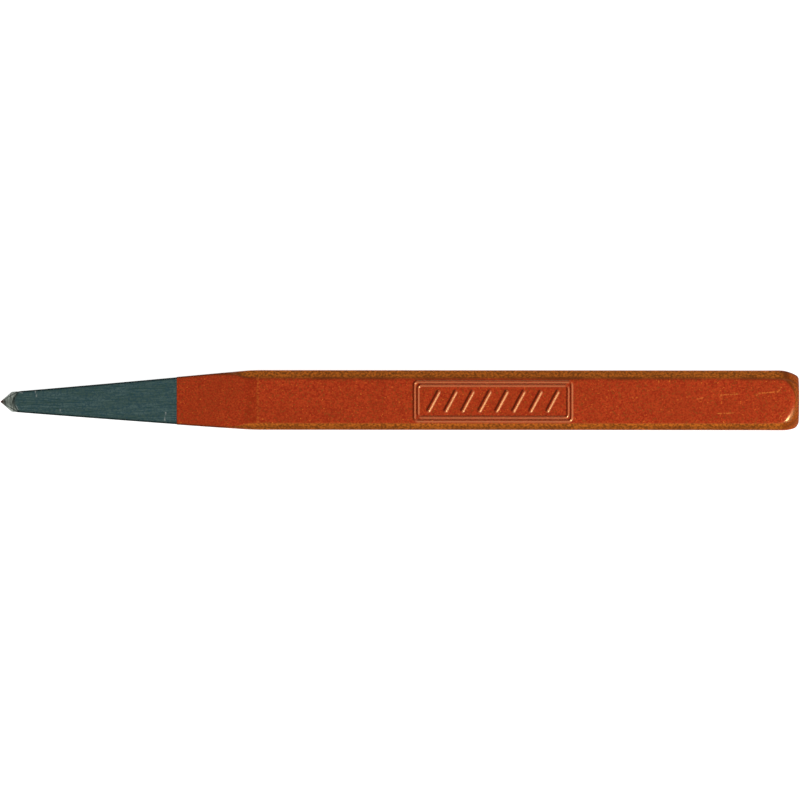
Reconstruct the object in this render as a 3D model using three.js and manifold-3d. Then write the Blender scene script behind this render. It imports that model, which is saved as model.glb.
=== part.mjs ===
// Centre punch of square bar: one steel forging with a ground conical point, and the lacquer coat on its
// shank and head. The tool lies on its back flat. X runs from the point (-X) to the struck face (+X), and
// Z points up, out of the front flat. Lengths along the tool are counted from the sharp point of its cone.
import * as THREE from "three";
import { mergeVertices } from "three/addons/utils/BufferGeometryUtils.js";
import Module from "manifold-3d";

const wasm = await Module();
wasm.setup();

// Driving dimensions, in millimetres and degrees.
const STEEL_LENGTH = 120; // point to struck face, bare steel
const STOCK = 8.9; // square bar, across flats, bare steel
const EDGE_BREAK = 1.0; // leg of the 45 degree chamfer on each long edge of the bar
const TAPER_LENGTH = 38.3; // point to where the bar has its full section
const NOSE_WIDTH = 3.0; // thin end of the taper across Y, where the point's cone starts
const NOSE_DEPTH = 3.5; // thin end of the taper across Z
const POINT_ANGLE = 80; // included angle of the ground point
const TIP_FLAT_RADIUS = 0.06; // what a stone leaves of the sharp tip
const FACE_RADIUS = 3.4; // flat middle of the struck face
const CROWN_RADIUS = 4.0; // arc that crowns the head between the struck face and the bar
const CROWN_RUNOUT = 0.12; // how far the crown's arc clears the bar's corners where it dies out
const HEAD_DRAW_LENGTH = 3.0; // last stretch of the two flanks, which the dies draw in towards the face
const HEAD_DRAW_RADIUS = 5.8; // radius of that stretch, tangent to the flanks
const COAT = 0.05; // thickness of the lacquer
const BARE_LENGTH = 26.6; // point to the lacquer's edge
const MARGIN = 1; // how far a cutting body runs past what it cuts
const WELD = 1e-5; // vertices closer than this are one

// Smoothness of the round stretches.
const TURNED_SEGMENTS = 96;
const CROWN_STEPS = 12;
const DRAW_STEPS = 10;

// The point's cone: its slope, where its tip flat lies and where it meets the thin end of the taper.
const CONE_SLOPE = Math.tan(THREE.MathUtils.degToRad(POINT_ANGLE / 2));
const TIP_X = TIP_FLAT_RADIUS / CONE_SLOPE;
const NOSE_X = NOSE_WIDTH / 2 / CONE_SLOPE;

// A closed three.js geometry as a solid to cut with, its shared vertices merged.
function solid(geometry) {
  const bare = new THREE.BufferGeometry();
  bare.setAttribute("position", geometry.getAttribute("position"));
  if (geometry.index) bare.setIndex(geometry.index);
  const merged = mergeVertices(bare, WELD);
  return new wasm.Manifold(
    new wasm.Mesh({
      numProp: 3,
      vertProperties: new Float32Array(merged.getAttribute("position").array),
      triVerts: new Uint32Array(merged.index.array),
    }),
  );
}

// A finished solid as a three.js geometry.
function geometryOf(made) {
  const mesh = made.getMesh();
  const geometry = new THREE.BufferGeometry();
  geometry.setAttribute(
    "position",
    new THREE.BufferAttribute(mesh.vertProperties, mesh.numProp),
  );
  geometry.setIndex(new THREE.BufferAttribute(mesh.triVerts, 1));
  geometry.computeVertexNormals();
  return geometry;
}

// A straight-sided outline through the given corners.
function shapeOf(points) {
  return new THREE.Shape(points.map(([x, y]) => new THREE.Vector2(x, y)));
}

// The bar: a square with its four corners cut at 45 degrees, run along X. Here and below, skin is the
// thickness of a coat over the steel. An even coat lengthens a chamfer's leg by 2 - sqrt(2) of itself.
function bar(skin) {
  const flat = STOCK / 2 + skin;
  const corner = flat - (EDGE_BREAK + skin * (2 - Math.SQRT2));
  const section = shapeOf([
    [flat, -corner],
    [flat, corner],
    [corner, flat],
    [-corner, flat],
    [-flat, corner],
    [-flat, -corner],
    [-corner, -flat],
    [corner, -flat],
  ]);
  const geometry = new THREE.ExtrudeGeometry(section, {
    depth: STEEL_LENGTH + skin + 2 * MARGIN,
    bevelEnabled: false,
  });
  geometry.translate(0, 0, -MARGIN);
  geometry.rotateY(Math.PI / 2);
  return solid(geometry);
}

// Two planes that draw the bar down to a nose of the given thickness, symmetric about the tool's axis.
// It is made in the XY plane; across Z it is turned a quarter about X.
function taper(noseThickness, acrossZ, skin) {
  const slope = (STOCK - noseThickness) / 2 / (TAPER_LENGTH - NOSE_X);
  const grown = skin * Math.hypot(1, slope);
  const halfAt = (x) => noseThickness / 2 + slope * (x - NOSE_X) + grown;
  const back = -MARGIN;
  const front = STEEL_LENGTH + skin + MARGIN;
  const outline = shapeOf([
    [back, -halfAt(back)],
    [front, -halfAt(front)],
    [front, halfAt(front)],
    [back, halfAt(back)],
  ]);
  const width = STOCK + 2 * (skin + MARGIN);
  const geometry = new THREE.ExtrudeGeometry(outline, {
    depth: width,
    bevelEnabled: false,
  });
  geometry.translate(0, 0, -width / 2);
  if (acrossZ) geometry.rotateX(Math.PI / 2);
  return solid(geometry);
}

// The outline that the forging dies give the head, seen from above: straight flanks that end in two arcs.
function headOutline(skin) {
  const half = STOCK / 2 + skin;
  const radius = HEAD_DRAW_RADIUS + skin;
  const start = STEEL_LENGTH - HEAD_DRAW_LENGTH;
  const sweep = Math.asin((HEAD_DRAW_LENGTH + skin + MARGIN) / radius);
  const outline = new THREE.Shape();
  outline.moveTo(-MARGIN, -half - MARGIN);
  outline.lineTo(start, -half - MARGIN);
  outline.absarc(start, radius - half, radius, -Math.PI / 2, -Math.PI / 2 + sweep);
  outline.absarc(start, half - radius, radius, Math.PI / 2 - sweep, Math.PI / 2);
  outline.lineTo(start, half + MARGIN);
  outline.lineTo(-MARGIN, half + MARGIN);
  const depth = STOCK + 2 * (skin + MARGIN);
  const geometry = new THREE.ExtrudeGeometry(outline, {
    depth,
    bevelEnabled: false,
    curveSegments: DRAW_STEPS,
  });
  geometry.translate(0, 0, -depth / 2);
  return solid(geometry);
}

// What grinding on a turning axis leaves: the cone of the point and the crown of the head.
function turned(skin) {
  const barCorner = Math.hypot(STOCK / 2, STOCK / 2 - EDGE_BREAK);
  const barrel = barCorner + CROWN_RUNOUT;
  const centreRadius = barrel - CROWN_RADIUS;
  const centreX = STEEL_LENGTH - Math.sqrt(CROWN_RADIUS ** 2 - (FACE_RADIUS - centreRadius) ** 2);
  const radius = CROWN_RADIUS + skin;
  const end = STEEL_LENGTH + skin;
  const lastAngle = Math.asin((end - centreX) / radius);
  const profile = [
    [0, TIP_X],
    [TIP_FLAT_RADIUS, TIP_X],
    [barrel + skin, (barrel + skin) / CONE_SLOPE],
  ];
  for (let step = 0; step <= CROWN_STEPS; step++) {
    const angle = (lastAngle * step) / CROWN_STEPS;
    profile.push([
      centreRadius + radius * Math.cos(angle),
      centreX + radius * Math.sin(angle),
    ]);
  }
  profile.push([0, end]);
  const points = profile.map(([r, x]) => new THREE.Vector2(r, x));
  const geometry = new THREE.LatheGeometry(points, TURNED_SEGMENTS);
  geometry.rotateZ(-Math.PI / 2);
  return solid(geometry);
}

// The tool's outer form, as bare steel or under a coat of the given thickness.
function toolForm(skin) {
  return bar(skin)
    .intersect(taper(NOSE_WIDTH, false, skin))
    .intersect(taper(NOSE_DEPTH, true, skin))
    .intersect(headOutline(skin))
    .intersect(turned(skin));
}

// Everything from the lacquer's edge back past the head.
function paintedZone() {
  const length = STEEL_LENGTH + COAT + MARGIN - BARE_LENGTH;
  const width = STOCK + 2 * (COAT + MARGIN);
  const geometry = new THREE.BoxGeometry(length, width, width);
  geometry.translate(BARE_LENGTH + length / 2, 0, 0);
  return solid(geometry);
}

function steelForging() {
  const material = new THREE.MeshStandardMaterial({
    color: 0x5f6f6d,
    roughness: 0.38,
    metalness: 1.0,
  });
  return new THREE.Mesh(geometryOf(toolForm(0)), material);
}

function lacquerCoat() {
  const shell = toolForm(COAT).intersect(paintedZone()).subtract(toolForm(0));
  const material = new THREE.MeshStandardMaterial({
    color: 0xa23919,
    roughness: 0.42,
    metalness: 0.0,
  });
  return new THREE.Mesh(geometryOf(shell), material);
}

const punch = new THREE.Group();
const pieces = { steel_forging: steelForging(), lacquer_coat: lacquerCoat() };
for (const [name, mesh] of Object.entries(pieces)) {
  mesh.name = name;
  mesh.position.set(-(TIP_X + STEEL_LENGTH + COAT) / 2, 0, STOCK / 2 + COAT);
  punch.add(mesh);
}

export default punch;
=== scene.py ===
import math

import bpy
import numpy as np
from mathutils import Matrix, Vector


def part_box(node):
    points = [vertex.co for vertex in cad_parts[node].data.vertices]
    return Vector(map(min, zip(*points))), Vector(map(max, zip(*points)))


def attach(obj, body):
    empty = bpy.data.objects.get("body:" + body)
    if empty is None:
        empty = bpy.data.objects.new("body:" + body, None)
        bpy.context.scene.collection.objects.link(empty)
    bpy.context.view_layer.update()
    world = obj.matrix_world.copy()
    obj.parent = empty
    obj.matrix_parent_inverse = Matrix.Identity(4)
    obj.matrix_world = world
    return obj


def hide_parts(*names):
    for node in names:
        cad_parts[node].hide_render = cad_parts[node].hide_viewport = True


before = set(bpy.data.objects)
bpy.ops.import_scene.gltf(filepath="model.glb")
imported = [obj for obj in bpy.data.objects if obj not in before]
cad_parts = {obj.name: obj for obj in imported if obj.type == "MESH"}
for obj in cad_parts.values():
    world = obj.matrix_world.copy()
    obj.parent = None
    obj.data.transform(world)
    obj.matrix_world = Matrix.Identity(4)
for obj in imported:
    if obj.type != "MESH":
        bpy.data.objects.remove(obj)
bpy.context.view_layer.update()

# ---------------------------------------------------------------------------------------------------
# The forging. One bar of tool steel, square with broken edges, drawn down on four sides to a thin nose.
# It is hardened, its nose is ground on the flats along the tool, and its point is ground to a cone.
# Lengths are in millimetres, and x is counted from the sharp point of that cone.
MM = 0.001
steel_low, steel_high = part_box("steel_forging")
coat_low, coat_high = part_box("lacquer_coat")

tip_radius = 0.06
cone_half_angle = 41  # in degrees
cone_slope = math.tan(math.radians(cone_half_angle))
tip_x = tip_radius / cone_slope
point_x = steel_low[0] / MM - tip_x
length = steel_high[0] / MM - point_x
half_bar = (steel_high[1] - steel_low[1]) / 2 / MM
axis_z = (coat_low[2] + coat_high[2]) / 2 / MM
lacquer_edge = coat_low[0] / MM - point_x

nose_half_y = 1.5
nose_half_z = 1.75
nose_x = nose_half_y / cone_slope
taper_length = 37.9  # where the flanks reach the bar's full width
bend_x = 38.8  # where the front and back flats reach its full depth
taper_blend = 0.12
point_drift = -0.31  # the hand-ground point sits this far off the bar's axis

face_radius = 3.4
crown_radius = 4.0
barrel = 5.75  # the crown's arc dies out just clear of the bar's corners
crown_centre_r = barrel - crown_radius
crown_centre_x = length - math.sqrt(crown_radius**2 - (face_radius - crown_centre_r) ** 2)

draw_radius = 5.8
draw_left = 3.1  # how far from the struck face each flank starts to draw in
draw_right = 2.45
relief_height = 0.12  # the raised lines on the front flat end level with the bar's true size
leg_front_left = 1.12  # how far each broken edge cuts into the two flats beside it
leg_front_right = 0.92
leg_back = 1.0
leg_run = 5.5  # the broken edges fade out over this stretch of the taper
sharp_edge = 0.09  # rounding of the edges that are ground bright
soft_edge = 0.3  # rounding of the edges under the lacquer
soft_crown = 0.9  # rounding where the crown meets the front flat
soften_run = 4.0  # past the lacquer's edge, sharp turns to soft over this run
crown_from = 6.0  # the soft crown fades in between these two distances from the struck face
crown_full = 3.0
side_fade = 0.3  # and over this width, from the front and back to the flanks
drift_fade = 1.6  # the drift dies out along the taper by this power
plain_from = 40.0  # between these two, the bar's section doesn't change
plain_to = 112.0
cone_end = 4.0  # by here the flats have taken over from the cone all round

# How far each mark of wear or finish spreads from the line that it follows.
edge_fade = 0.12
corner_reach = 0.6
cone_reach = 10.0  # what is turned nearer the point than this is the cone, and the rest is the crown
cone_fade = 0.4
crown_fade = 0.1
# The creases beside the front flat carry painted shade.
crease_reach = 0.4  # the left crease lies on the line between the front flat and the broken edge
outer_reach = 0.9  # the right one lies on the outer part of the broken edge, this wide
crease_from = 0.5  # both darken between these two distances from the axis
crease_full = 2.5
right_crease_share = 0.65  # and the right one is this much as dark
rubbed_from = 7.0  # the sides of the head are rubbed dull, more and more between these two distances
rubbed_full = 1.5  # from the struck face
front_from = 3.7  # the front of the head isn't, and it starts between these two heights over the axis
front_full = 4.15


def soft_min(a, b, reach):
    """The smaller of a and b, with the corner where they cross rounded off over reach."""
    near = np.clip(1 - np.abs(a - b) / reach, 0, None)
    return np.minimum(a, b) - reach * near**2 / 4


def share(value, start, end):
    """How far value has come from start to end, from 0 to 1, with soft ends."""
    t = np.clip((value - start) / (end - start), 0, 1)
    return t * t * (3 - 2 * t)


def tapered(x, nose_half, full_at):
    """Half the bar's thickness at x, on a taper that runs from that nose to the full bar."""
    slope = (half_bar - nose_half) / (full_at - nose_x)
    return soft_min(nose_half + slope * (x - nose_x), half_bar, taper_blend)


def drawn(x, run):
    """How far a flank draws in at x, over its last run of millimetres before the struck face."""
    past = np.clip(x - (length - run), 0, None)
    return draw_radius - np.sqrt(draw_radius**2 - past**2)


# The bar's section as directions from its axis, once round. The front flat has even, close steps for the
# raised lines. The other sides crowd theirs at their ends, where the edges are rounded.
front_steps = 82
side_steps = 14
edge_steps = 12
flat_y = half_bar - leg_back
corners = [
    (flat_y, half_bar), (-flat_y, half_bar), (-half_bar, flat_y), (-half_bar, -flat_y),
    (-flat_y, -half_bar), (flat_y, -half_bar), (half_bar, -flat_y), (half_bar, flat_y),
]
ring = []
for side, corner in enumerate(corners):
    after = corners[(side + 1) % len(corners)]
    if side == 0:
        steps = np.arange(front_steps) / front_steps
    elif side % 2:
        steps = np.arange(edge_steps) / edge_steps
    else:
        steps = 0.5 - 0.5 * np.cos(math.pi * np.arange(side_steps) / side_steps)
    ring += [np.array(corner) * (1 - t) + np.array(after) * t for t in steps]
ring = np.array(ring)
ring = ring / np.linalg.norm(ring, axis=1)[:, None]
ring_y = ring[None, :, 0]
ring_z = ring[None, :, 1]


def form(stations, skin):
    """The tool's surface under a coat of thickness skin. Each station gives x and the radius of the turned
    envelope there. Returns the places in millimetres and the marks, which say how far each place is on a
    broken edge, on a sharp corner, in a crease, on the turned cone or crown, or on the head's rubbed end."""
    x = stations[:, :1]
    turned = stations[:, 1:]
    skin = np.reshape(skin, (-1, 1))
    rounding = sharp_edge + (soft_edge - sharp_edge) * share(x, lacquer_edge, lacquer_edge + soften_run)
    left = tapered(x, nose_half_y, taper_length) - drawn(x, draw_left)
    right = tapered(x, nose_half_y, taper_length) - drawn(x, draw_right)
    flank = np.where(ring_y > 0, left, right) + skin
    front = soft_min(tapered(x, nose_half_z, bend_x), half_bar - relief_height, taper_blend)
    flat = np.where(ring_z > 0, front, tapered(x, nose_half_z, bend_x)) + skin
    leg = np.where(ring_y > 0, leg_front_left, leg_front_right) + relief_height
    leg = np.where(ring_z > 0, leg, leg_back) * share(x, taper_length - leg_run, taper_length)
    broken = 2 * half_bar - leg + skin * math.sqrt(2)
    tiny = 1e-9
    wide = np.maximum(np.abs(ring_y), tiny)
    high = np.maximum(np.abs(ring_z), tiny)
    flats = soft_min(flank / wide, flat / high, rounding)
    edge = broken / (wide + high)
    bar = soft_min(flats, edge, rounding)
    at_crown = share(x, length - crown_from, length - crown_full) * share(high - wide, -side_fade, side_fade)
    out = soft_min(bar, turned, rounding + (soft_crown - soft_edge) * at_crown)
    drift = point_drift * (1 - np.clip(x / taper_length, 0, 1) ** drift_fade)
    places = np.stack([x + 0 * out, drift + out * ring_y, out * ring_z], axis=2)
    on_edge = share(flats - edge, -edge_fade, edge_fade)
    # The corner mark carries painted shade along the corners of the taper, and dulls them.
    on_corner = (1 - share(np.abs(flank / wide - flat / high), 0, corner_reach)) * (1 - on_edge)
    turned_fade = np.where(x < cone_reach, cone_fade, crown_fade)
    on_turned = share(bar - turned, -turned_fade, crown_fade)
    inner_line = np.minimum(np.abs(flat / high - edge), np.abs(bar - turned))
    # Painted shade in the creases: along the front flat's left edge, and on the outer part of the right
    # broken edge.
    left_crease_shade = (1 - share(inner_line, 0, crease_reach)) * share(out * ring_y, crease_from, crease_full)
    outer_half = share(flat / high - flank / wide, -outer_reach, 0) * on_edge
    right_crease_shade = outer_half * share(-out * ring_y, crease_from, crease_full) * right_crease_share
    crease_shade = (left_crease_shade + right_crease_shade) * (ring_z > 0)
    at_front = share(out * ring_z, front_from, front_full)
    on_rim = share(x, length - rubbed_from, length - rubbed_full) * (1 - at_front)
    marks = {"edge": on_edge, "corner": on_corner, "crease": crease_shade, "turned": on_turned, "rim": on_rim}
    return places, marks


def from_strokes(x, y, strokes):
    """Distance in plan from each place to the nearest of the strokes, each given by its two ends."""
    nearest = np.full(x.shape, np.inf)
    for (start_x, start_y), (end_x, end_y) in strokes:
        run_x = end_x - start_x
        run_y = end_y - start_y
        t = ((x - start_x) * run_x + (y - start_y) * run_y) / (run_x**2 + run_y**2)
        t = np.clip(t, 0, 1)
        nearest = np.minimum(nearest, np.hypot(x - start_x - t * run_x, y - start_y - t * run_y))
    return nearest


def loft(name, rings, marks):
    """A closed mesh through the rings of points, both ends closed to a point, with the marks stored on it."""
    count, around = rings.shape[:2]
    rings = rings + np.array([point_x, 0, axis_z])
    ends = [rings[0].mean(axis=0), rings[-1].mean(axis=0)]
    points = np.concatenate([rings.reshape(-1, 3), ends]) * MM
    index = np.arange(count * around).reshape(count, around)
    beside = np.roll(index, -1, axis=1)
    quads = np.stack([index[:-1], beside[:-1], beside[1:], index[1:]], axis=2).reshape(-1, 4)
    first = [[count * around, b, a] for a, b in zip(index[0], beside[0])]
    last = [[count * around + 1, a, b] for a, b in zip(index[-1], beside[-1])]
    mesh = bpy.data.meshes.new(name)
    mesh.from_pydata(points.tolist(), [], quads.tolist() + first + last)
    for mark, values in marks.items():
        layer = mesh.attributes.new(mark, "FLOAT", "POINT")
        layer.data.foreach_set("value", np.append(values.reshape(-1), [0.0, 0.0]).astype(np.float32))
    mesh.shade_smooth()
    piece = bpy.data.objects.new(name, mesh)
    bpy.context.collection.objects.link(piece)
    return piece


def cone_stations(step):
    """Stations over the flat of the tip, up the cone and on to where the flats have taken over."""
    over_tip = [0.002, 0.03, 0.055]
    up_cone = np.arange(tip_x + step / 2, cone_end, step)
    x = np.concatenate([np.full(len(over_tip), tip_x), up_cone])
    radius = np.concatenate([over_tip, cone_slope * up_cone])
    return np.column_stack([x, radius])


def along(start, end, step, skin):
    """Stations from start up to end in the plain bar, each about a step from the last."""
    x = np.linspace(start, end, max(2, round((end - start) / step)), endpoint=False)
    return np.column_stack([x, np.minimum(cone_slope * x, barrel + skin)])


def head_stations(steps, skin):
    """Stations over the crown and in to the middle of the struck face."""
    radius = crown_radius + skin
    turn = np.linspace(0, math.asin((length + skin - crown_centre_x) / radius), steps)
    crown = np.column_stack([crown_centre_x + radius * np.sin(turn), crown_centre_r + radius * np.cos(turn)])
    inward = np.array([0.95, 0.85, 0.7, 0.5, 0.3, 0.1, 0.005]) * face_radius
    return np.concatenate([crown, np.column_stack([np.full(len(inward), length + skin), inward])])


def covered_stations(skin):
    """The steel's stations under the coat, close where the form changes, so that none comes through it."""
    return np.concatenate([
        along(lacquer_edge, plain_from, step=0.6, skin=skin),
        along(plain_from, plain_to, step=9.0, skin=skin),
        along(plain_to, crown_centre_x, step=0.6, skin=skin),
        head_stations(steps=16, skin=skin),
    ])


# Bright scratches in the bare steel, each from one end to the other, as x and y.
scratch_half = 0.09
scratches = [
    ((5.5, 0.5), (5.35, 1.3)), ((9.05, -1.4), (9.2, -1.95)), ((24.8, -3.1), (24.95, -1.85)),
    ((2.6, 1.3), (3.4, 1.0)), ((2.45, -0.9), (2.75, -1.5)),
]
steel_stations = np.concatenate([
    cone_stations(step=0.08),
    along(cone_end, lacquer_edge, step=0.15, skin=0),
    covered_stations(skin=0),
])
steel_places, steel_marks = form(steel_stations, skin=0)
on_scratch = from_strokes(steel_places[:, :, 0], steel_places[:, :, 1], scratches)
steel_marks["scratch"] = (1 - share(on_scratch, 0, scratch_half)) * (ring_z > 0)
forging = loft("forging", steel_places, steel_marks)


def linear(colour):
    """A hex sRGB colour as linear red, green, blue and alpha."""
    parts = [int(colour[i : i + 2], 16) / 255 for i in (1, 3, 5)]
    return [p / 12.92 if p <= 0.04045 else ((p + 0.055) / 1.055) ** 2.4 for p in parts] + [1.0]


def add(material, kind, inputs=None, **settings):
    """Adds a node with its settings. Each input is given a value or another node's output."""
    node = material.node_tree.nodes.new(kind)
    for setting, value in settings.items():
        setattr(node, setting, value)
    for socket, value in (inputs or {}).items():
        if isinstance(value, bpy.types.NodeSocket):
            material.node_tree.links.new(value, node.inputs[socket])
        else:
            node.inputs[socket].default_value = value
    return node


def blank(name):
    """A material with no nodes."""
    material = bpy.data.materials.new(name)
    material.use_nodes = True
    material.node_tree.nodes.clear()
    return material


# Hardened tool steel, its flats ground along the tool on a belt: a dark blue-green cast from the temper,
# crossed by fine straight grinding lines that run from the nose to the lacquer. The cone is ground
# bright and grey on a turning axis, so its lines go round. The tip is darker brown, and the corners are
# drawn near black as painted shade along the tool's outline.
ground = blank("ground_tool_steel")
line_width = 0.16  # the real lines are a third of this, drawn as coarse as they need to show
line_run = 6.0
line_depth = 0.004
band_width = 0.7
band_run = 14.0
ring_width = 0.17
ring_run = 1.2
mottle_size = 0.3
tip_dark_full = 0.2  # the tip is darkest this far, and the darkening has faded out by the next
tip_dark_end = 0.75
place = add(ground, "ShaderNodeTexCoord").outputs["Object"]
lines_at = add(ground, "ShaderNodeMapping", {
    "Vector": place,
    "Scale": (1 / (MM * line_run), 1 / (MM * line_width), 1 / (MM * line_width)),
}).outputs["Vector"]
lines = add(ground, "ShaderNodeTexNoise", {
    "Vector": lines_at, "Scale": 1.0, "Detail": 3.0, "Roughness": 0.65,
}).outputs["Fac"]
line_share = add(ground, "ShaderNodeMapRange", {
    "Value": lines, "From Min": 0.36, "From Max": 0.64,
}).outputs["Result"]
steel_tone = add(ground, "ShaderNodeMix", {
    0: line_share, 6: linear("#446662"), 7: linear("#9ABEBA"),
}, data_type="RGBA").outputs[2]
bands_at = add(ground, "ShaderNodeMapping", {
    "Vector": place,
    "Scale": (1 / (MM * band_run), 1 / (MM * band_width), 1 / (MM * band_width)),
}).outputs["Vector"]
bands = add(ground, "ShaderNodeTexNoise", {
    "Vector": bands_at, "Scale": 1.0, "Detail": 1.0,
}).outputs["Fac"]
band_share = add(ground, "ShaderNodeMapRange", {
    "Value": bands, "From Min": 0.4, "From Max": 0.75, "To Max": 0.5,
}).outputs["Result"]
banded = add(ground, "ShaderNodeMix", {
    0: band_share, 6: steel_tone, 7: linear("#62806C"),
}, data_type="RGBA").outputs[2]
mottle = add(ground, "ShaderNodeTexNoise", {
    "Vector": place, "Scale": 1 / (MM * mottle_size), "Detail": 2.0, "Roughness": 0.6,
}).outputs["Fac"]
mottle_share = add(ground, "ShaderNodeMapRange", {
    "Value": mottle, "From Min": 0.42, "From Max": 0.66, "To Max": 0.7,
}).outputs["Result"]
mottled = add(ground, "ShaderNodeMix", {
    0: mottle_share, 6: banded, 7: linear("#4A7484"),
}, data_type="RGBA").outputs[2]
rings_at = add(ground, "ShaderNodeMapping", {
    "Vector": place,
    "Scale": (1 / (MM * ring_width), 1 / (MM * ring_run), 1 / (MM * ring_run)),
}).outputs["Vector"]
rings = add(ground, "ShaderNodeTexNoise", {
    "Vector": rings_at, "Scale": 1.0, "Detail": 2.0, "Roughness": 0.6,
}).outputs["Fac"]
ring_share = add(ground, "ShaderNodeMapRange", {
    "Value": rings, "From Min": 0.35, "From Max": 0.65,
}).outputs["Result"]
cone_tone = add(ground, "ShaderNodeMix", {
    0: ring_share, 6: linear("#2C3430"), 7: linear("#949C92"),
}, data_type="RGBA").outputs[2]
cone_mark = add(ground, "ShaderNodeAttribute", attribute_name="turned").outputs["Fac"]
coned = add(ground, "ShaderNodeMix", {
    0: cone_mark, 6: mottled, 7: cone_tone,
}, data_type="RGBA").outputs[2]
# Painted shade: the steel's corners go near black, as the shade along the tool's outline.
corner_mark = add(ground, "ShaderNodeAttribute", attribute_name="corner").outputs["Fac"]
corner_shaded = add(ground, "ShaderNodeMix", {
    0: corner_mark, 6: coned, 7: linear("#101A18"),
}, data_type="RGBA").outputs[2]
along_x = add(ground, "ShaderNodeSeparateXYZ", {"Vector": place}).outputs["X"]
tip_share = add(ground, "ShaderNodeMapRange", {
    "Value": along_x,
    "From Min": steel_low[0] + tip_dark_full * MM, "From Max": steel_low[0] + tip_dark_end * MM,
    "To Min": 1.0, "To Max": 0.0,
}).outputs["Result"]
tip_darkened = add(ground, "ShaderNodeMix", {
    0: tip_share, 6: corner_shaded, 7: linear("#3C1A0C"),
}, data_type="RGBA").outputs[2]
scratch_mark = add(ground, "ShaderNodeAttribute", attribute_name="scratch").outputs["Fac"]
scratched = add(ground, "ShaderNodeMix", {
    0: scratch_mark, 6: tip_darkened, 7: linear("#E4ECE6"),
}, data_type="RGBA").outputs[2]
line_bump = add(ground, "ShaderNodeBump", {
    "Height": lines, "Strength": 0.35, "Distance": line_depth * MM,
}).outputs["Normal"]
line_gloss = add(ground, "ShaderNodeMapRange", {
    "Value": lines, "From Min": 0.3, "From Max": 0.7, "To Min": 0.46, "To Max": 0.32,
}).outputs["Result"]
ground_surface = add(ground, "ShaderNodeBsdfPrincipled", {
    "Base Color": scratched, "Metallic": 1.0, "Roughness": line_gloss, "Normal": line_bump,
})
add(ground, "ShaderNodeOutputMaterial", {"Surface": ground_surface.outputs["BSDF"]})
forging.data.materials.append(ground)
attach(forging, "root")
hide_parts("steel_forging")

# ---------------------------------------------------------------------------------------------------
# The lacquer coat. The shank, the head and the thick part of the taper are dipped in red lacquer and
# baked. It draws thin on the broken edges, where the steel shows through it as brown. The plain panel of
# raised lines on the front flat is struck in the real forging, and is made here in the coat over it.
coat = (coat_high[1] - steel_high[1]) / MM
lip_run = np.array([0.0, 0.012, 0.04, 0.09])  # the coat's edge rises over this run
lip_rise = np.array([0.2, 0.6, 0.9, 1.0])  # to these shares of its thickness
clearance = 0.1 * coat  # the coat's inside stands this far off the steel
mark_start = 61.9  # the panel lies between these two, and this far off the middle of the flat
mark_end = 86.2
mark_y = -0.15
frame_half_x = 11.8
frame_half_y = 2.95
frame_corner = 0.5
frame_inset = 0.55  # from the outer line of the frame to the inner one
rib_count = 8
rib_pitch = 2.55
rib_lean = 0.75
rib_half = 1.4
rib_top = 0.1  # half the width of a rib's flat top
rib_foot = 0.34  # and half its width where it stands on the flat
line_half = 0.24  # half the width of the frame's lines where they stand on the flat
light_offset = 0.08  # how far off the raised lines the painted shade and highlight lie
scuffed_from = 103.0  # stations are close from here to the head, for the scuffs


def from_frame(x, y, inset):
    """Signed distance from a rectangle with small round corners, set in from the frame's outline."""
    over_x = np.abs(x) - (frame_half_x - inset - frame_corner)
    over_y = np.abs(y) - (frame_half_y - inset - frame_corner)
    outside = np.hypot(np.clip(over_x, 0, None), np.clip(over_y, 0, None))
    return outside + np.minimum(np.maximum(over_x, over_y), 0) - frame_corner


def relief(x, y):
    """Share of full height of the raised lines: a double frame and a row of leaning ribs in it."""
    x = x - (mark_start + mark_end) / 2
    y = y - mark_y
    centres = [(rib - (rib_count - 1) / 2) * rib_pitch for rib in range(rib_count)]
    ribs = [((at - rib_lean, -rib_half), (at + rib_lean, rib_half)) for at in centres]
    on_ribs = (rib_foot - from_strokes(x, y, ribs)) / (rib_foot - rib_top)
    from_lines = np.minimum(np.abs(from_frame(x, y, 0)), np.abs(from_frame(x, y, frame_inset)))
    return np.clip(np.maximum(on_ribs, 1 - from_lines / line_half), 0, 1)


outer_stations = np.concatenate([
    np.column_stack([lacquer_edge + lip_run, np.full(len(lip_run), barrel + coat)]),
    along(lacquer_edge + 0.2, plain_from, step=0.3, skin=coat),
    along(plain_from, mark_start, step=0.6, skin=coat),
    along(mark_start, mark_end, step=0.09, skin=coat),
    along(mark_end, scuffed_from, step=0.6, skin=coat),
    along(scuffed_from, crown_centre_x, step=0.2, skin=coat),
    head_stations(steps=40, skin=coat),
])
outer_skin = np.full(len(outer_stations), coat)
outer_skin[: len(lip_rise)] = coat * lip_rise
outer, outer_marks = form(outer_stations, outer_skin)
plan_x = outer[:, :, 0]
plan_y = outer[:, :, 1]
on_front = (ring_z > 0) & (np.abs(plan_y) < flat_y)
outer[:, :, 2] += relief_height * relief(plan_x, plan_y) * on_front

# Painted shade on the side of each raised line that faces away from the light,
# and a painted highlight on the side that faces it.
fall = relief(plan_x - light_offset, plan_y + light_offset) - relief(plan_x + light_offset, plan_y - light_offset)
outer_marks["line_shade"] = np.clip(-fall, 0, 1) * on_front
outer_marks["line_highlight"] = np.clip(fall, 0, 1) * on_front

# The front taper ends in a faint bend. A painted highlight runs along it, and painted shade lies on
# the taper just before it.
past_bend = plan_x - bend_x
bend_half = 0.2
taper_shade_start = -3.0
taper_shade_deepest = -0.6
into_taper_shade = share(past_bend, taper_shade_start, taper_shade_deepest)
outer_marks["bend"] = (1 - share(np.abs(past_bend), 0, bend_half)) * on_front
outer_marks["hollow"] = into_taper_shade * (1 - share(past_bend, taper_shade_deepest, bend_half)) * on_front

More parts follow.
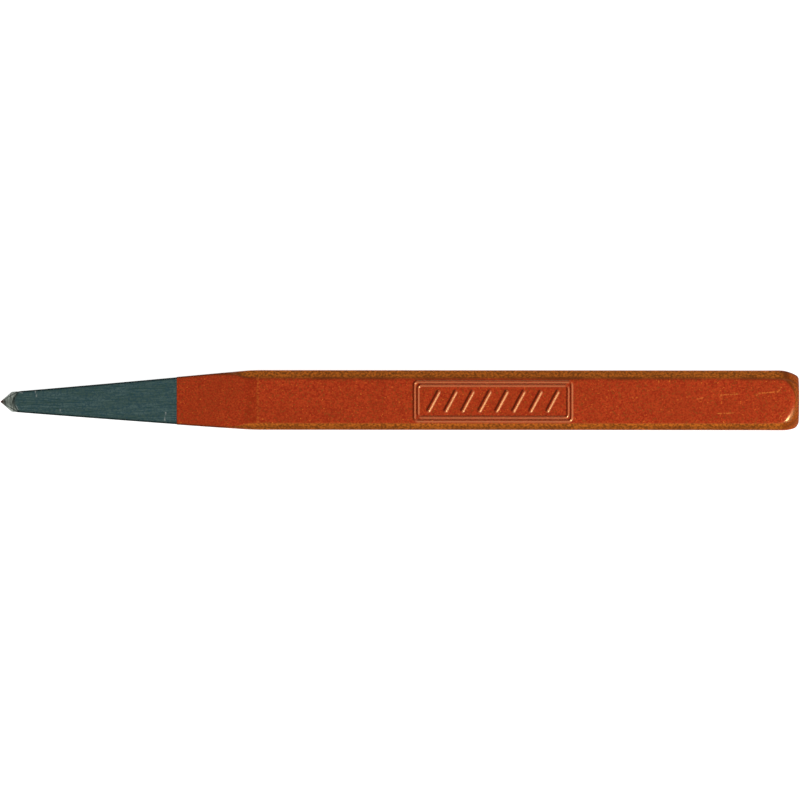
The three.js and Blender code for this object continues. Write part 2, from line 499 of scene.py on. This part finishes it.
# Light handling marks on the front flat near the head, hardly deeper than the flecks.
scuff_half = 0.13
scuff_depth = 0.02
scuffs = [
    ((104.8, 0.2), (105.6, 0.35)), ((108.2, 0.75), (108.3, 0.2)), ((108.3, 0.8), (110.9, 0.95)),
    ((113.6, 0.7), (113.9, 1.0)), ((113.9, 1.05), (116.9, 1.3)), ((116.9, 1.3), (117.4, 2.0)),
    ((107.8, -2.0), (110.2, -1.9)), ((117.0, -2.6), (117.7, -1.9)),
]
outer_marks["scuff"] = (1 - share(from_strokes(plan_x, plan_y, scuffs), 0, scuff_half)) * on_front
outer[:, :, 2] -= scuff_depth * outer_marks["scuff"]

# The inside of the coat runs back from the head to the lip, so that the two make one closed shell.
inner, inner_marks = form(covered_stations(clearance)[::-1], clearance)
shell_marks = {}
for mark, values in outer_marks.items():
    shell_marks[mark] = np.concatenate([inner_marks.get(mark, np.zeros(inner.shape[:2])), values])
lacquer_coat = loft("lacquer", np.concatenate([inner, outer]), shell_marks)

# Baked red lacquer with a fine bronze flake: satin, and flecked at close range with orange, dark red and
# olive. It tints what it mirrors. Its edges are brown where it is thin, and the creases are darkened with
# painted shade. Beside the raised lines it carries painted shade on the side away from the light and a
# painted highlight on the side towards it. The crown is a darker brown as painted shade, and the front
# taper's bend carries a painted highlight with painted shade before it. The edges and the end of the head
# are rubbed dull, and mirror next to nothing.
lacquer = blank("baked_flake_lacquer")
fleck_size = 0.25  # the real flake is about a fifth of this, drawn as coarse as it needs to show
grain_depth = 0.008
flow_depth = 0.06
rubbed_roughness = 0.8
place = add(lacquer, "ShaderNodeTexCoord").outputs["Object"]
fleck = add(lacquer, "ShaderNodeTexNoise", {
    "Vector": place, "Scale": 1 / (MM * fleck_size), "Detail": 2.0, "Roughness": 0.6,
}).outputs["Fac"]
fleck_share = add(lacquer, "ShaderNodeMapRange", {
    "Value": fleck, "From Min": 0.37, "From Max": 0.63,
}).outputs["Result"]
red = add(lacquer, "ShaderNodeMix", {
    0: fleck_share, 6: linear("#8A2410"), 7: linear("#AC3B1A"),
}, data_type="RGBA").outputs[2]
elsewhere = add(lacquer, "ShaderNodeMapping", {
    "Vector": place, "Location": (0.31, 0.17, 0.23),
}).outputs["Vector"]
flake = add(lacquer, "ShaderNodeTexNoise", {
    "Vector": elsewhere, "Scale": 1 / (MM * fleck_size), "Detail": 1.0,
}).outputs["Fac"]
olive_share = add(lacquer, "ShaderNodeMapRange", {
    "Value": flake, "From Min": 0.56, "From Max": 0.7, "To Max": 0.6,
}).outputs["Result"]
flecked = add(lacquer, "ShaderNodeMix", {
    0: olive_share, 6: red, 7: linear("#764418"),
}, data_type="RGBA").outputs[2]
spark_share = add(lacquer, "ShaderNodeMapRange", {
    "Value": flake, "From Min": 0.31, "From Max": 0.24, "To Max": 0.8,
}).outputs["Result"]
sparked = add(lacquer, "ShaderNodeMix", {
    0: spark_share, 6: flecked, 7: linear("#CE7028"),
}, data_type="RGBA").outputs[2]

patch_size = 5.0
blotch_size = 0.35
patch = add(lacquer, "ShaderNodeTexNoise", {
    "Vector": place, "Scale": 1 / (MM * patch_size), "Detail": 2.0,
}).outputs["Fac"]
patch_share = add(lacquer, "ShaderNodeMapRange", {
    "Value": patch, "From Min": 0.4, "From Max": 0.65, "To Max": 0.3,
}).outputs["Result"]
uneven = add(lacquer, "ShaderNodeMix", {
    0: patch_share, 6: sparked, 7: linear("#8A2C10"),
}, data_type="RGBA").outputs[2]

edge_mark = add(lacquer, "ShaderNodeAttribute", attribute_name="edge").outputs["Fac"]
blotch = add(lacquer, "ShaderNodeTexNoise", {
    "Vector": place, "Scale": 1 / (MM * blotch_size), "Detail": 3.0, "Roughness": 0.6,
}).outputs["Fac"]
blotch_share = add(lacquer, "ShaderNodeMapRange", {
    "Value": blotch, "From Min": 0.4, "From Max": 0.6,
}).outputs["Result"]
brown = add(lacquer, "ShaderNodeMix", {
    0: blotch_share, 6: linear("#6C380E"), 7: linear("#AC5A1A"),
}, data_type="RGBA").outputs[2]
thin = add(lacquer, "ShaderNodeMix", {
    0: edge_mark, 6: uneven, 7: brown,
}, data_type="RGBA").outputs[2]
# Painted shade: the coat's corners on the taper go dark, as the shade along the tool's outline.
corner_mark = add(lacquer, "ShaderNodeAttribute", attribute_name="corner").outputs["Fac"]
corner_shaded = add(lacquer, "ShaderNodeMix", {
    0: corner_mark, 6: thin, 7: linear("#4A1E08"),
}, data_type="RGBA").outputs[2]
crown_mark = add(lacquer, "ShaderNodeAttribute", attribute_name="turned").outputs["Fac"]
# Painted shade: the crown is a darker brown, as the shade on the crown, which turns away from the light.
crown_shade_tone = add(lacquer, "ShaderNodeMix", {
    0: fleck_share, 6: linear("#642806"), 7: linear("#8C400C"),
}, data_type="RGBA").outputs[2]
crown_shaded = add(lacquer, "ShaderNodeMix", {
    0: crown_mark, 6: corner_shaded, 7: crown_shade_tone,
}, data_type="RGBA").outputs[2]
# Painted shade in the creases, made uneven by the patches.
crease_mark = add(lacquer, "ShaderNodeAttribute", attribute_name="crease").outputs["Fac"]
crease_share = add(lacquer, "ShaderNodeMapRange", {
    "Value": patch, "From Min": 0.3, "From Max": 0.6, "To Min": 0.3, "To Max": 0.9,
}).outputs["Result"]
crease_shade_share = add(lacquer, "ShaderNodeMath", {
    0: crease_mark, 1: crease_share,
}, operation="MULTIPLY").outputs[0]
crease_shaded = add(lacquer, "ShaderNodeMix", {
    0: crease_shade_share, 6: crown_shaded, 7: linear("#54240A"),
}, data_type="RGBA").outputs[2]
# Painted shade beside the raised lines, away from the light, and a painted highlight on the side towards it.
line_shade_mark = add(lacquer, "ShaderNodeAttribute", attribute_name="line_shade").outputs["Fac"]
line_shaded = add(lacquer, "ShaderNodeMix", {
    0: line_shade_mark, 6: crease_shaded, 7: linear("#3C0E06"),
}, data_type="RGBA").outputs[2]
line_highlight_mark = add(lacquer, "ShaderNodeAttribute", attribute_name="line_highlight").outputs["Fac"]
line_highlight = add(lacquer, "ShaderNodeMix", {
    0: line_highlight_mark, 6: line_shaded, 7: linear("#B47048"),
}, data_type="RGBA").outputs[2]
scuff_mark = add(lacquer, "ShaderNodeAttribute", attribute_name="scuff").outputs["Fac"]
scuff_share = add(lacquer, "ShaderNodeMath", {
    0: scuff_mark, 1: fleck_share,
}, operation="MULTIPLY").outputs[0]
# Painted highlight along the taper's bend, broken up by the flecks.
bend_highlight_mark = add(lacquer, "ShaderNodeAttribute", attribute_name="bend").outputs["Fac"]
bend_highlight_share = add(lacquer, "ShaderNodeMath", {
    0: bend_highlight_mark, 1: fleck_share,
}, operation="MULTIPLY").outputs[0]
# Painted shade on the taper just before the bend, uneven with the blotches.
taper_shade_mark = add(lacquer, "ShaderNodeAttribute", attribute_name="hollow").outputs["Fac"]
taper_shade_share = add(lacquer, "ShaderNodeMath", {
    0: taper_shade_mark, 1: blotch_share,
}, operation="MULTIPLY").outputs[0]
taper_shaded = add(lacquer, "ShaderNodeMix", {
    0: taper_shade_share, 6: line_highlight, 7: linear("#86270D"),
}, data_type="RGBA").outputs[2]
bend_highlighted = add(lacquer, "ShaderNodeMix", {
    0: bend_highlight_share, 6: taper_shaded, 7: linear("#A8501E"),
}, data_type="RGBA").outputs[2]
scuffed = add(lacquer, "ShaderNodeMix", {
    0: scuff_share, 6: bend_highlighted, 7: linear("#C86E2E"),
}, data_type="RGBA").outputs[2]

grain_bump = add(lacquer, "ShaderNodeBump", {
    "Height": fleck, "Strength": 0.4, "Distance": grain_depth * MM,
}).outputs["Normal"]
flow_bump = add(lacquer, "ShaderNodeBump", {
    "Height": patch, "Strength": 0.5, "Distance": flow_depth * MM, "Normal": grain_bump,
}).outputs["Normal"]
gloss = add(lacquer, "ShaderNodeMapRange", {
    "Value": patch, "From Min": 0.35, "From Max": 0.65, "To Min": 0.16, "To Max": 0.24,
}).outputs["Result"]
rim_mark = add(lacquer, "ShaderNodeAttribute", attribute_name="rim").outputs["Fac"]
corner_or_rim = add(lacquer, "ShaderNodeMath", {
    0: corner_mark, 1: rim_mark,
}, operation="MAXIMUM").outputs[0]
dull_mark = add(lacquer, "ShaderNodeMath", {
    0: edge_mark, 1: corner_or_rim,
}, operation="MAXIMUM").outputs[0]
sheen = add(lacquer, "ShaderNodeMix", {
    0: dull_mark, 2: gloss, 3: rubbed_roughness,
}).outputs[0]
mirroring = add(lacquer, "ShaderNodeMapRange", {
    "Value": dull_mark, "To Min": 0.45, "To Max": 0.06,
}).outputs["Result"]
lacquer_surface = add(lacquer, "ShaderNodeBsdfPrincipled", {
    "Base Color": scuffed, "Roughness": sheen, "IOR": 1.5, "Normal": flow_bump,
    "Specular IOR Level": mirroring, "Specular Tint": linear("#FFD08C"),
})
add(lacquer, "ShaderNodeOutputMaterial", {"Surface": lacquer_surface.outputs["BSDF"]})
lacquer_coat.data.materials.append(lacquer)
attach(lacquer_coat, "root")
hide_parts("lacquer_coat")

# ---------------------------------------------------------------------------------------------------
# The table: a plain white sheet of paper laid over a light table, three metres square. The light comes
# up evenly through the paper and takes up the tool's shadow.
bpy.ops.mesh.primitive_plane_add(size=3)
table = bpy.context.object
table.name = "table"
paper = blank("white_sheet")
sheet_surface = add(paper, "ShaderNodeBsdfPrincipled", {
    "Base Color": linear("#8C8C8A"), "Roughness": 0.9,
    "Emission Color": linear("#FFFFFF"), "Emission Strength": 0.94,
})
add(paper, "ShaderNodeOutputMaterial", {"Surface": sheet_surface.outputs["BSDF"]})
table.data.materials.append(paper)

# The light: a soft room, bright all round and dim overhead. A wide lamp and a small bright one stand
# past the head on its right, and another wide lamp stands low beside the left flank.
room = bpy.data.worlds.new("room")
room.use_nodes = True
room.node_tree.nodes.clear()
towards = add(room, "ShaderNodeTexCoord").outputs["Generated"]
height = add(room, "ShaderNodeSeparateXYZ", {"Vector": towards}).outputs["Z"]
brightness = add(room, "ShaderNodeMapRange", {
    "Value": height, "From Min": 0.2, "From Max": 0.75, "To Min": 0.5, "To Max": 0.13,
}).outputs["Result"]
walls = add(room, "ShaderNodeBackground", {"Color": linear("#F4F8F8"), "Strength": brightness})
add(room, "ShaderNodeOutputWorld", {"Surface": walls.outputs["Background"]})
bpy.context.scene.world = room


def lamp(name, place, size, power):
    """A square lamp that faces the middle of the tool."""
    light = bpy.data.lights.new(name, "AREA")
    light.size = size
    light.energy = power
    holder = bpy.data.objects.new(name, light)
    holder.location = place
    aim = -holder.location
    holder.rotation_euler = aim.to_track_quat("-Z", "Y").to_euler()
    bpy.context.collection.objects.link(holder)


lamp("key_lamp", place=(0.48, -0.32, 0.42), size=0.40, power=2.8)
lamp("head_lamp", place=(0.38, -0.30, 0.54), size=0.11, power=3.4)
lamp("rim_lamp", place=(0.16, 0.56, 0.26), size=0.50, power=2.0)

# The camera looks straight down on the front flat, with a long lens from two metres up. It stands a hair
# off the tool's middle and is turned a hair off square, as a camera that is set by hand does.
camera_height = 2.0
frame_width = 0.1203
off_along = 0.06 * MM
off_across = 0.01 * MM
off_square = 0.05
lens = bpy.data.cameras.new("camera")
lens.sensor_width = 36.0
lens.lens = lens.sensor_width * camera_height / frame_width
camera = bpy.data.objects.new("camera", lens)
middle_x = (steel_low[0] + coat_high[0]) / 2
camera.location = (middle_x + off_along, off_across, axis_z * MM + camera_height)
camera.rotation_euler = (0, 0, math.radians(off_square))
bpy.context.collection.objects.link(camera)
bpy.context.scene.camera = camera
bpy.context.scene.view_settings.view_transform = "Standard"
